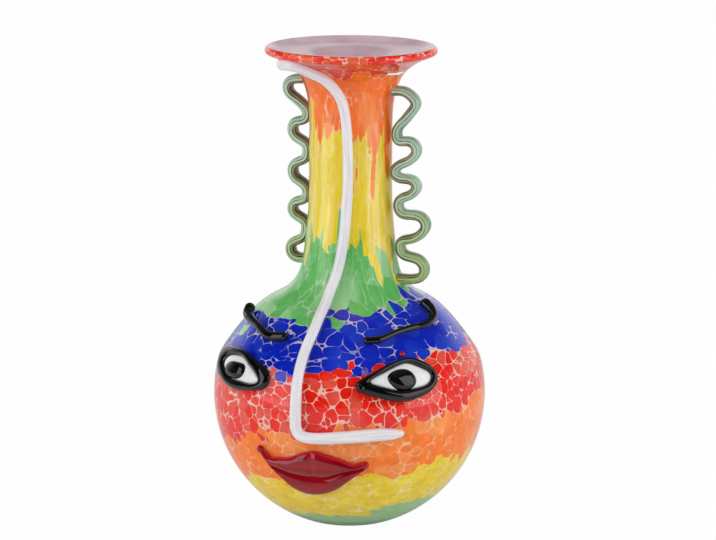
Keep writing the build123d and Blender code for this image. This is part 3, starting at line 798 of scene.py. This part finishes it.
# Pat of glass: from its middle out to an outline, the height falls off as a flat-topped round
def pat(name, outline, middle, height, sunk, power, rings=22):
    share = np.sin(np.linspace(0, pi / 2, rings))
    lift = (1 - share**power) ** 0.6 * (height + sunk) - sunk
    share = np.r_[share, 0.5, 0.0]
    lift = np.r_[lift, -sunk, -sunk]
    places = np.asarray(middle)[None, None] + (outline[None] - np.asarray(middle)) * share[:, None, None]
    grid = onWall(places[..., 0], places[..., 1], np.repeat(lift[:, None], len(outline), 1))
    flat = (places - np.asarray(middle)) * 0.25
    strand = stacked(flat[..., 0], flat[..., 1], lift[:, None])
    return gridPiece(name, grid, closedColumns=True, attributes={"strand": strand})


def middleOf(places):
    azimuth, share = np.array(places).mean(0)
    return azimuth, float(bodyHeight(share))


def makeEye(side):
    data, around, sunk = eyes[side], eyes["around"], eyes["sunk"]
    middle, pupilMiddle = middleOf(data["white"]), middleOf(data["pupil"])
    outer = closedOutline(data["rim"], around, middle)
    inner = closedOutline(data["white"], around, middle)
    overlap = 0.04  # share by which the rim reaches in over the white
    reach = inner + overlap * (np.array(middle) - inner)
    rim = roundBand(side + "EyeRim", outer, reach, eyes["rimHeight"], sunk)
    white = pat(side + "EyeWhite", inner, middle, eyes["whiteHeight"], sunk, 8)
    pupilOutline = closedOutline(data["pupil"], 96, pupilMiddle)
    pupil = pat(side + "EyePupil", pupilOutline, pupilMiddle, eyes["pupilHeight"], sunk, 4)
    finishPiece(rim, blackGlass, side + "_eye_rim")
    finishPiece(white, eyeGlass, side + "_eye_white")
    finishPiece(pupil, blackGlass, side + "_pupil")


for side in ("right", "left"):
    makeEye(side)
print("eyes pressed on")

lips = {
    "upperTop": [
        (-24.6, -0.222), (-23.6, -0.229), (-22.0, -0.25), (-19.6, -0.28), (-15.5, -0.278), (-11.0, -0.268),
        (-5.7, -0.23), (-1.6, -0.205), (2.0, -0.198), (5.6, -0.213), (10.3, -0.237), (15.0, -0.27),
        (18.3, -0.288), (20.8, -0.276), (22.4, -0.278), (23.6, -0.292)],
    "mouth": [
        (-24.6, -0.25), (-22.3, -0.3), (-19.0, -0.343), (-14.4, -0.363), (-11.6, -0.378), (-6.7, -0.396),
        (-1.8, -0.408), (2.6, -0.407), (7.1, -0.396), (10.8, -0.368), (15.0, -0.341), (18.0, -0.325),
        (21.0, -0.32), (23.6, -0.315)],
    "lowerBottom": [
        (-22.5, -0.302), (-20.2, -0.329), (-17.2, -0.394), (-14.2, -0.45), (-11.2, -0.501), (-7.8, -0.533),
        (-4.0, -0.549), (1.1, -0.546), (5.8, -0.528), (9.6, -0.5), (13.3, -0.458), (16.0, -0.418),
        (19.3, -0.374), (21.5, -0.34), (23.0, -0.32)],
    # beads: azimuth, height share, radius and lift of the middle
    "corners": [(-24.0, -0.236, 3.0, 1.3), (22.7, -0.294, 3.0, 1.3)],
    "upperHeight": 6.4, "lowerHeight": 6.0, "sunk": 0.6, "along": 150, "across": 26,
}


# Lip: along it run two edges, across it the height is a half round, raised by a swelling that
# is least at the corners and dips at the bow of the upper lip
def lipSurface(name, low, high, height, bow):
    start = max(low[0][0], high[0][0])
    end = min(low[-1][0], high[-1][0])
    along = np.linspace(0, 1, lips["along"])
    azimuth = start + (end - start) * (1 - np.cos(along * pi)) / 2
    lowLine = smoothLine(low, 900)
    highLine = smoothLine(high, 900)
    lowShare = np.interp(azimuth, lowLine[:, 0], lowLine[:, 1])
    highShare = np.interp(azimuth, highLine[:, 0], highLine[:, 1])
    swell = 0.38 + 0.62 * np.sin(along * pi) ** 0.9
    dip = 1 - bow * np.exp(-((azimuth - 0.2) / 1.5) ** 2)
    lean = np.linspace(0, pi, lips["across"])
    share = (1 - np.cos(lean)) / 2
    round_ = np.sin(lean) ** 0.85
    taper = np.clip(np.minimum(along, 1 - along) / 0.02, 0, 1) ** 0.5
    lift = round_[:, None] * ((height + lips["sunk"]) * swell * dip * taper)[None] - lips["sunk"]
    share = np.r_[share, 0.7, 0.3]
    lift = np.concatenate([lift, np.full((2, len(along)), -lips["sunk"])])
    places = lowShare[None] + (highShare - lowShare)[None] * share[:, None]
    grid = onWall(np.repeat(azimuth[None], len(share), 0), bodyHeight(places), lift)
    strand = stacked(share[:, None] * 2, lift * 0.3, azimuth * 1.8)
    piece = gridPiece(name, grid, closedRows=True, attributes={"strand": strand})
    closeEnds(piece)
    return piece


def closeEnds(piece):
    work = bmesh.new()
    work.from_mesh(piece.data)
    bmesh.ops.holes_fill(work, edges=work.edges, sides=0)
    takeBack(work, piece.data)
    piece.data.polygons.foreach_set("use_smooth", [True] * len(piece.data.polygons))


# Bead: a ball of radius r about a point lifted off the wall; rings and turns give its directions
def bead(name, azimuth, share, radius, lift):
    middle = onWall(azimuth, bodyHeight(share), lift)
    rise = np.linspace(-pi / 2, pi / 2, 19)[:, None]
    turn = fullTurn(28)
    ways = stacked(np.cos(rise) * np.cos(turn), np.cos(rise) * np.sin(turn), np.sin(rise))
    strand = np.zeros_like(ways) + (0.0, 1.0, 0.0)
    return gridPiece(name, middle + radius * ways, closedColumns=True, attributes={"strand": strand})


def joinInto(piece, others):
    with bpy.context.temp_override(active_object=piece, object=piece, selected_objects=[piece, *others],
                                   selected_editable_objects=[piece, *others]):
        bpy.ops.object.join()


def makeLips():
    upper = lipSurface("upperLip", lips["mouth"], lips["upperTop"], lips["upperHeight"], 0.22)
    lower = lipSurface("lowerLip", lips["lowerBottom"], lips["mouth"], lips["lowerHeight"], 0.0)
    joinInto(upper, [bead("corner", *place) for place in lips["corners"]])
    finishPiece(upper, redGlass, "upper_lip")
    finishPiece(lower, redGlass, "lower_lip")


makeLips()
print("lips pressed on")

# Small drips left by the hand at the right eye: place as for the lips' beads, material and slot
drips = {
    "clearBubble": ((22.8, 0.368, 2.7, 1.6), "clearGlass", "clear_glass"),
    "redDrop": ((42.0, 0.458, 2.2, 1.4), "redGlass", "red_glass"),
    "rimBead": ((20.6, 0.262, 3.4, 2.6), "blackGlass", "black_glass"),
}


def makeDrips():
    for name, (place, material, slot) in drips.items():
        finishPiece(bead(name, *place), bpy.data.materials[material])


makeDrips()
print("drips left at the right eye")

ears = {
    "thickness": 7.6, "depth": 12.0, "squareness": 0.62, "steps": 420,
    # colours across the strap, from its outer side to its inner side
    "glass": [
        (0.0, (116, 140, 118)), (0.14, (150, 184, 158)), (0.3, (178, 208, 184)), (0.34, (120, 142, 128)),
        (0.37, (70, 84, 80)), (0.4, (166, 192, 166)), (0.5, (196, 220, 192)), (0.6, (164, 188, 158)),
        (0.65, (38, 44, 50)), (0.69, (62, 66, 66)), (0.73, (158, 166, 128)), (0.8, (146, 142, 110)),
        (0.88, (108, 98, 80)), (1.0, (92, 82, 72))],
    "sway": 1.2, "fine": 0.5,  # how far the colours wander across the strap, slowly and finely
    "olive": (0.88, 0.84, 0.4, 1.0), "oliveMost": 0.9, "oliveFrom": (60.0, 280.0),  # mm along it
    # distance from the axis and height of the strap's middle, from the top down
    "right": [
        (33.0, 342.1), (41.8, 342.3), (48.2, 339.1), (52.2, 333.2), (48.7, 326.3), (43.6, 319.8),
        (38.8, 314.1), (37.3, 308.5), (38.9, 303.9), (45.3, 303.3), (50.6, 301.7), (53.2, 296.1),
        (50.7, 291.1), (45.5, 287.2), (39.0, 283.8), (35.9, 278.3), (38.8, 274.8), (45.6, 273.7),
        (50.9, 272.3), (53.5, 268.1), (51.4, 263.6), (46.5, 260.3), (41.0, 257.5), (39.0, 252.6),
        (41.9, 246.8), (49.5, 245.5), (57.2, 244.1), (61.2, 238.5), (57.3, 230.7), (47.9, 226.1),
        (41.7, 223.6), (40.9, 218.5), (43.8, 213.9), (49.9, 211.9), (56.7, 209.5), (60.4, 203.7),
        (58.5, 197.2), (52.9, 194.8), (43.5, 194.2), (39.0, 194.6)],
    "left": [
        (34.5, 348.6), (39.2, 348.6), (45.5, 348.0), (49.7, 345.7), (51.0, 341.4), (48.9, 336.6),
        (44.4, 333.0), (38.4, 328.0), (35.2, 323.1), (36.1, 317.9), (39.9, 315.7), (45.2, 313.9),
        (47.0, 308.7), (45.2, 303.6), (39.9, 300.0), (35.6, 296.6), (34.8, 291.2), (36.4, 286.2),
        (39.9, 283.9), (45.1, 281.0), (46.9, 275.0), (44.7, 270.2), (39.8, 266.7), (36.0, 263.1),
        (35.1, 257.6), (36.8, 253.9), (40.2, 252.2), (45.1, 250.2), (47.0, 245.3), (44.7, 241.0),
        (39.6, 237.8), (36.3, 234.7), (35.8, 229.0), (37.6, 223.7), (42.5, 220.3), (47.2, 217.5),
        (48.6, 213.0), (46.7, 208.3), (42.1, 206.1), (36.4, 206.0)],
}


# Ear strap: a superellipse (signed powers of cosine and sine, which square its corners off)
# carried along the waves in the plane y = 0, its long side in depth
def makeEar(side):
    sign = 1 if side == "right" else -1
    line = smoothLine(ears[side], ears["steps"])
    path = np.stack([sign * line[:, 0], np.zeros(len(line)), line[:, 1]], 1)
    way = unit(np.gradient(path, axis=0))
    front = np.array([0.0, -1.0, 0.0])
    side_ = np.cross(way, front)
    halfDepth, halfThick = ears["depth"] / 2, ears["thickness"] / 2
    turn = fullTurn(48)
    x, y = [half * np.sign(wave) * np.abs(wave) ** ears["squareness"]
            for half, wave in ((halfDepth, np.cos(turn)), (halfThick, np.sin(turn)))]
    grid = path[:, None] + x[None, :, None] * front + y[None, :, None] * side_[:, None]
    strand = stacked(x / halfDepth, sign * y / halfThick, lengthsOf(path)[:, None])
    piece = gridPiece(side + "EarStrap", grid, closedColumns=True, attributes={"strand": strand})
    closeEnds(piece)
    finishPiece(piece, strapGlass(), side + "_ear_trail")


# Strap glass: sea green across the strap with two dark streaks, turning brown at its inner side
# and from sea green to olive on the way down. Noise makes the colours wander across it.
def strapGlass():
    if "strapGlass" in bpy.data.materials:
        return bpy.data.materials["strapGlass"]
    material, tree, shader = newMaterial("strapGlass")
    strand = attributeVector(tree, "strand")
    parts = partsOf(tree, strand)
    sway = mathNode(tree, "MULTIPLY", stretchedNoise(tree, strand, (0.0, 0.0, 0.03), 0.0), ears["sway"])
    fine = mathNode(tree, "MULTIPLY", stretchedNoise(tree, strand, (2.0, 4.0, 0.08), 3.0), ears["fine"])
    across = mathNode(tree, "ADD", parts["Y"], mathNode(tree, "ADD", sway, fine))
    stops = [(place, screenColour(*colour)) for place, colour in ears["glass"]]
    ramp = rampNode(tree, rangeNode(tree, across, -0.25, 1.95), stops)
    olive = rangeNode(tree, parts["Z"], *ears["oliveFrom"], 0.0, ears["oliveMost"], smooth=True)
    tinted = mixColour(tree, olive, ramp.outputs["Color"], ears["olive"], "MULTIPLY")
    addUneven(tree, shader, 120.0, 0.0003)
    return finishGlass(material, shader, tinted, {"Roughness": 0.08, "IOR": 1.5})


for side in ("right", "left"):
    makeEar(side)
print("ear straps laid")

studio = {
    # degrees, metres and millimetres of focal length
    "cameraTurn": 16.0, "cameraDistance": 2.1, "cameraHeight": 0.6487, "aimAcross": 0.00622,
    "aimHeight": 0.19833, "roll": 0.32, "focal": 137.16, "sensor": 36.0,
    "softBox": (1.1, 1.3), "softBoxPower": 8.5, "softBoxTurn": 64.0, "softBoxDistance": 1.5,
    "softBoxHeight": 0.6, "softBoxAim": 0.2,
    # the room's even light, and what it shows in reflections: towards the viewer and overhead
    "even": 0.66, "frontGloss": 0.03, "ceiling": 0.12,
    "floorSize": 12.0, "floorDrop": 0.0002, "floorGrey": 0.86, "floorGlow": 0.97,
}


# Matrix of a camera or lamp at a place, looking at an aim, rolled by an angle in degrees
def lookingAt(place, aim, roll=0.0):
    way = unit(aim - place)
    across = unit(np.cross(way, [0, 0, 1.0]))
    up = np.cross(across, way)
    c, s = cos(radians(roll)), sin(radians(roll))
    across, up = across * c + up * s, up * c - across * s
    matrix = Matrix.Identity(4)
    for k in range(3):
        matrix[k][0], matrix[k][1], matrix[k][2], matrix[k][3] = across[k], up[k], -way[k], place[k]
    return matrix


def makeCamera():
    s = studio
    turn = radians(s["cameraTurn"])
    place = np.array([s["cameraDistance"] * sin(turn), -s["cameraDistance"] * cos(turn), s["cameraHeight"]])
    aim = np.array([s["aimAcross"] * cos(turn), s["aimAcross"] * sin(turn), s["aimHeight"]])
    camera = bpy.data.objects.new("camera", bpy.data.cameras.new("camera"))
    data = camera.data
    data.lens, data.sensor_width, data.sensor_fit = s["focal"], s["sensor"], "HORIZONTAL"
    data.clip_end = 100.0
    camera.matrix_world = lookingAt(place, aim, s["roll"])
    bpy.context.scene.collection.objects.link(camera)
    bpy.context.scene.camera = camera


# Floor that the camera sees as an even white, just below the base so that they don't lie together
def makeFloor():
    size, low, grey = studio["floorSize"], -studio["floorDrop"], studio["floorGrey"]
    corners = [[[-size, -size, low], [size, -size, low]], [[-size, size, low], [size, size, low]]]
    floor = gridPiece("floor", np.array(corners) / mm, merge=False)
    material, tree, shader = newMaterial("paleFloor")
    setInputs(shader, {"Base Color": (grey, grey, grey, 1), "Roughness": 0.6, "Specular IOR Level": 0.1})
    glow = tree.nodes.new("ShaderNodeEmission")
    setInputs(glow, {"Strength": 1.0})
    showMixed(tree, mathNode(tree, "MULTIPLY", seenRays(tree), studio["floorGlow"]), shader, glow)
    floor.data.materials.append(material)


# 1 for what the camera sees, straight or through glass
def seenRays(tree):
    rays = tree.nodes.new("ShaderNodeLightPath")
    return mathNode(tree, "MAXIMUM", rays.outputs["Is Camera Ray"], rays.outputs["Is Transmission Ray"])


# Room: white to the camera, even light on the glass, in reflections white behind the vase and dim
# towards the viewer. A soft box stands at each side of the camera.
def makeLights():
    s = studio
    world = bpy.data.worlds.new("studioWorld")
    bpy.context.scene.world = world
    world.use_nodes = True
    tree = world.node_tree
    back = tree.nodes["Background"]
    setInputs(back, {"Color": (1, 1, 1, 1)})
    glossy = tree.nodes.new("ShaderNodeLightPath").outputs["Is Glossy Ray"]
    parts = partsOf(tree, tree.nodes.new("ShaderNodeTexCoord").outputs["Generated"])
    behind = rangeNode(tree, parts["Y"], 0.1, 0.6, s["frontGloss"], 1.0, smooth=True)
    fading = rangeNode(tree, parts["Z"], 0.2, 0.5, 1.0, 0.1, smooth=True)
    ceiling = rangeNode(tree, parts["Z"], 0.6, 0.9, 0.0, s["ceiling"], smooth=True)
    mirrored = mathNode(tree, "MAXIMUM", mathNode(tree, "MULTIPLY", behind, fading), ceiling)
    level = mathNode(tree, "ADD", mathNode(tree, "MULTIPLY", glossy, mirrored),
                     mathNode(tree, "MULTIPLY", mathNode(tree, "SUBTRACT", 1.0, glossy), s["even"]))
    link(tree, mathNode(tree, "MAXIMUM", level, seenRays(tree)), back.inputs["Strength"])
    for side in (-1, 1):
        light = bpy.data.lights.new("softBox", "AREA")
        light.shape, light.size, light.size_y = "RECTANGLE", *s["softBox"]
        light.energy = s["softBoxPower"]
        lamp = bpy.data.objects.new("softBox", light)
        turn = radians(s["cameraTurn"] + side * s["softBoxTurn"])
        away = s["softBoxDistance"]
        spot = np.array([away * sin(turn), -away * cos(turn), s["softBoxHeight"]])
        lamp.matrix_world = lookingAt(spot, np.array([0, 0, s["softBoxAim"]]))
        bpy.context.scene.collection.objects.link(lamp)


makeCamera()
makeFloor()
makeLights()
bpy.context.scene.view_settings.view_transform = "Standard"
print("camera, floor and lights set")
